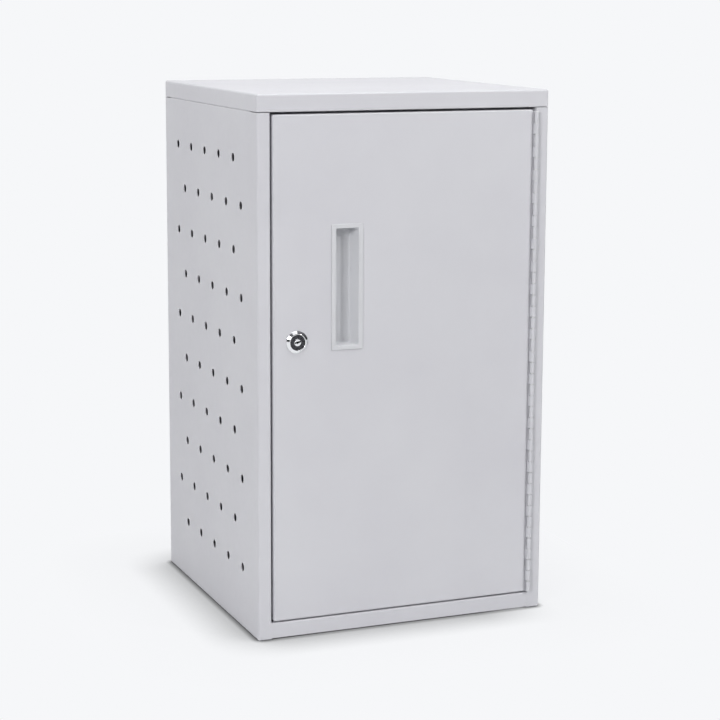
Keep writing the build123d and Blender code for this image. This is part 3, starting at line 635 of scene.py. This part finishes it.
def rivets(node, direction, grip):
    """Blind rivets in place of a node's plain ones; direction points from head to bulb."""
    whole = bmesh.new()
    axis = max(range(3), key=lambda i: abs(direction[i]))
    turn = Vector((0, 1, 0)).rotation_difference(Vector(direction)).to_matrix()
    for low, high in loose_solids(node):
        length = high[axis] - low[axis]
        bulb = length - RIVET_HEAD_THICKNESS - grip
        one = turned(rivet_profile(grip, bulb), Vector((0, 0, 0)), RIVET_STEPS)
        start = (low + high) / 2
        start[axis] = low[axis] if direction[axis] > 0 else high[axis]
        bmesh.ops.transform(one, matrix=Matrix.Translation(start) @ turn.to_4x4(), verts=one.verts)
        merge(whole, one)
    return piece(node + "_domed", whole, BODY_OF[node], [ZINC], node, sharp=radians(50))


def door_bumpers():
    """Soft buttons with a domed pad in front of the stop strip and a snap head behind it."""
    whole = bmesh.new()
    for low, high in loose_solids("door_bumpers"):
        pad = (high.x - low.x) / 2
        centre = (low + high) / 2
        strip_back = high.y - BUMPER_TAIL_LENGTH
        strip_front = strip_back - SHEET
        profile = [
            (0, low.y), (0.55 * pad, low.y + 0.05 * MM), (0.85 * pad, low.y + 0.3 * MM),
            (pad, low.y + 0.9 * MM), (pad, strip_front), (BUMPER_STEM, strip_front),
            (BUMPER_STEM, strip_back), (BUMPER_TAIL, strip_back), (2.2 * MM, high.y - 0.5 * MM),
            (1.2 * MM, high.y), (0, high.y),
        ]
        merge(whole, turned(profile, Vector((centre.x, 0, centre.z)), BUMPER_STEPS))
    return piece("bumper_buttons", whole, "cabinet", [RUBBER], "door_bumpers",
                 sharp=radians(50))


# ---- everything on its body ----

for name in ("left_side_panel", "right_side_panel", "back_panel", "base_pan", "top_lid", "top_rail",
             "stop_strip", "door_skin", "door_stiffener"):
    dressed(name, PAINT)
for name in ("hinge_post_leaf", "hinge_door_leaf"):
    dressed(name, PAINT, HINGE_EDGE, 1)
for name in ("handle_bracket", "handle_nuts", "lid_nuts", "lock_nut", "lock_cam", "cam_washer",
             "cam_screw", "left_coat_hook", "right_coat_hook", "hinge_pin", "lid_studs"):
    dressed(name, ZINC, SMALL_EDGE)

handle_cup()
lock_housing()
lock_plug()
door_bumpers()
rivets("strip_rivets", (-1, 0, 0), 2 * SHEET + STRIP_FIT)
rivets("back_rivets", (0, -1, 0), 2 * SHEET)
rivets("hinge_post_rivets", (1, 0, 0), SHEET + LEAF)
rivets("hinge_door_rivets", (-1, 0, 0), SHEET + LEAF)


# ---- floor, light and camera ----

BACKGROUND = (0.922, 0.930, 0.947)
FLOOR_COLOUR = (0.72, 0.725, 0.735)
FLOOR_RADIUS = 1.7
FLOOR_STEPS = 96
# Painted shade on the floor: its glow is darkened by ambient occlusion within these reaches, and the soft
# part is faded out towards the key light's side.
SHADE_REACH = 0.062           # soft shade round the foot
CONTACT_REACH = 0.008         # darker shade close to the contact
SHADE_SAMPLES = 8
BRIGHT_START = 0.10           # towards the key light, the soft shade fades out between these
BRIGHT_STOP = 0.19
CAST_START = 0.015            # the lamps' own shadow fades out between these distances
CAST_STOP = 0.16
CAST_SHARE = 0.10
AMBIENT = 0.12
ROOM_WALLS = (0.035, 0.035, 0.038)
ROOM_CEILING = (0.20, 0.20, 0.21)
CEILING_RISE = (0.1, 0.8)     # heights of direction between which the walls turn into the ceiling
HORIZON = (-0.06, -0.01)      # and between which the pale floor turns into the walls
BACKDROP_EDGE = (-0.05, 0.25)  # and front-to-back shares between which the backdrop sets in
CAMERA_PLACE = (-0.8595, -2.132, 0.7065)
CAMERA_YAW, CAMERA_PITCH, CAMERA_ROLL = radians(22.285), radians(9.59), radians(0.255)
LENS = 98.35
CAMERA_SHIFT = -0.05
LAMP_AIM = (0, 0, 0.3)        # middle of the cabinet
SOFTBOXES = {                 # place, width, watts
    "overhead_box": ((-0.1, -0.35, 2.3), 1.5, 26),
    "front_box": ((0, -1.5, 2.0), 1.2, 4),
    "left_box": ((-1.836, -1.836, 1.349), 0.8, 31),
    "key_light": ((1.646, -1.961, 1.661), 0.14, 26),
    "back_left_box": ((-1.9, 1.1, 1.3), 0.9, 12),
    "back_right_box": ((2.1, 0.9, 1.2), 1.0, 12),
}


def vector_math(tree, operation, first, second, output="Vector"):
    inputs = {0: first, 1: second}
    return add_node(tree, "ShaderNodeVectorMath", inputs, operation=operation).outputs[output]


def mixed_shaders(tree, factor, first, second):
    return add_node(tree, "ShaderNodeMixShader", {0: factor, 1: first, 2: second}).outputs[0]


def seen_directly(tree):
    """1 for camera, glossy and transmission rays."""
    path = add_node(tree, "ShaderNodeLightPath").outputs
    first = scalar_math(tree, "MAXIMUM", path["Is Camera Ray"], path["Is Glossy Ray"])
    return scalar_math(tree, "MAXIMUM", first, path["Is Transmission Ray"])


def distance_from_cabinet(tree):
    """Distance of a floor point from the cabinet's footprint."""
    coords = add_node(tree, "ShaderNodeTexCoord").outputs["Object"]
    reach = Vector(cad_box[1])
    away = vector_math(tree, "ABSOLUTE", coords, (0, 0, 0))
    past = vector_math(tree, "SUBTRACT", away, (reach.x, reach.y, 1.0))
    clear = vector_math(tree, "MAXIMUM", past, (0, 0, 0))
    return vector_math(tree, "LENGTH", clear, (0, 0, 0), "Value")


def openness(tree, reach):
    """1 in the open, falling towards 0 where solids stand within reach."""
    node = add_node(tree, "ShaderNodeAmbientOcclusion", {"Distance": reach}, samples=SHADE_SAMPLES)
    return node.outputs["AO"]


def floor():
    """Pale floor that runs out into the background. Seen directly it glows in the background colour,
    darkened by a painted shade from ambient occlusion round the cabinet's foot, mixed near it with a small
    share of the lamps' real shadow.
    """
    shape = bmesh.new()
    bmesh.ops.create_circle(shape, cap_ends=True, radius=FLOOR_RADIUS, segments=FLOOR_STEPS)
    mesh = bpy.data.meshes.new("floor")
    shape.to_mesh(mesh)
    shape.free()
    material = bpy.data.materials.new("pale_floor")
    material.use_nodes = True
    tree = material.node_tree
    tree.nodes.clear()
    coords = add_node(tree, "ShaderNodeTexCoord").outputs["Object"]
    across = add_node(tree, "ShaderNodeSeparateXYZ", {0: coords}).outputs["X"]
    # painted shade: the glow is darkened near the cabinet, with the soft part lifted towards the key
    # light's side
    lifted = spread(tree, across, 0, 1, BRIGHT_START, BRIGHT_STOP)
    soft = spread(tree, openness(tree, SHADE_REACH), lifted, 1, 0, 1)
    contact = scalar_math(tree, "POWER", openness(tree, CONTACT_REACH), 2.0)
    shade = scalar_math(tree, "MULTIPLY", soft, contact)
    plain = add_node(tree, "ShaderNodeEmission", {"Color": (*BACKGROUND, 1), "Strength": shade}).outputs[0]
    lit = add_node(tree, "ShaderNodeBsdfDiffuse", {"Color": (*FLOOR_COLOUR, 1)}).outputs[0]
    fade = spread(tree, distance_from_cabinet(tree), 1 - CAST_SHARE, 1, CAST_START, CAST_STOP)
    mixed = mixed_shaders(tree, scalar_math(tree, "MULTIPLY", fade, seen_directly(tree)), lit, plain)
    add_node(tree, "ShaderNodeOutputMaterial", {"Surface": mixed})
    mesh.materials.append(material)
    ground = bpy.data.objects.new("floor", mesh)
    bpy.context.scene.collection.objects.link(ground)


def surroundings():
    """Pale backdrop behind the cabinet, a dim room with a pale floor in front of it, and even light."""
    world = bpy.data.worlds.new("studio")
    bpy.context.scene.world = world
    world.use_nodes = True
    tree = world.node_tree
    tree.nodes.clear()
    white = {"Color": (1, 1, 1, 1), "Strength": AMBIENT}
    ambient = add_node(tree, "ShaderNodeBackground", white).outputs[0]
    direction = add_node(tree, "ShaderNodeTexCoord").outputs["Generated"]
    axes = add_node(tree, "ShaderNodeSeparateXYZ", {0: direction}).outputs
    behind = spread(tree, axes["Y"], 0, 1, *BACKDROP_EDGE)
    walls = blend_colours(tree, spread(tree, axes["Z"], 0, 1, *CEILING_RISE), ROOM_WALLS, ROOM_CEILING)
    room = blend_colours(tree, spread(tree, axes["Z"], 1, 0, *HORIZON), walls, BACKGROUND)
    path = add_node(tree, "ShaderNodeLightPath").outputs
    pale = scalar_math(tree, "MAXIMUM", behind, path["Is Camera Ray"])
    colour = blend_colours(tree, pale, room, BACKGROUND)
    seen = add_node(tree, "ShaderNodeBackground", {"Color": colour, "Strength": 1.0}).outputs[0]
    mixed = mixed_shaders(tree, seen_directly(tree), ambient, seen)
    add_node(tree, "ShaderNodeOutputWorld", {"Surface": mixed})


def softbox(name, place, width, watts):
    """Square lamp that faces the middle of the cabinet."""
    lamp = bpy.data.lights.new(name, "AREA")
    lamp.shape = "RECTANGLE"
    lamp.size = width
    lamp.size_y = width
    lamp.energy = watts
    holder = bpy.data.objects.new(name, lamp)
    holder.location = place
    holder.rotation_euler = (Vector(LAMP_AIM) - Vector(place)).to_track_quat("-Z", "Y").to_euler()
    holder.visible_camera = False
    bpy.context.scene.collection.objects.link(holder)


def camera():
    """Eye level a little above the lid, to the left of the door."""
    data = bpy.data.cameras.new("camera")
    data.lens = LENS
    data.sensor_width = 36
    data.shift_y = CAMERA_SHIFT
    data.clip_start = 0.05
    holder = bpy.data.objects.new("camera", data)
    turn = (Matrix.Rotation(-CAMERA_YAW, 4, "Z") @ Matrix.Rotation(pi / 2 - CAMERA_PITCH, 4, "X")
            @ Matrix.Rotation(CAMERA_ROLL, 4, "Z"))
    holder.matrix_world = Matrix.Translation(CAMERA_PLACE) @ turn
    bpy.context.scene.collection.objects.link(holder)
    bpy.context.scene.camera = holder


floor()
surroundings()
for name, (place, width, watts) in SOFTBOXES.items():
    softbox(name, place, width, watts)
camera()
bpy.context.scene.view_settings.view_transform = "Standard"
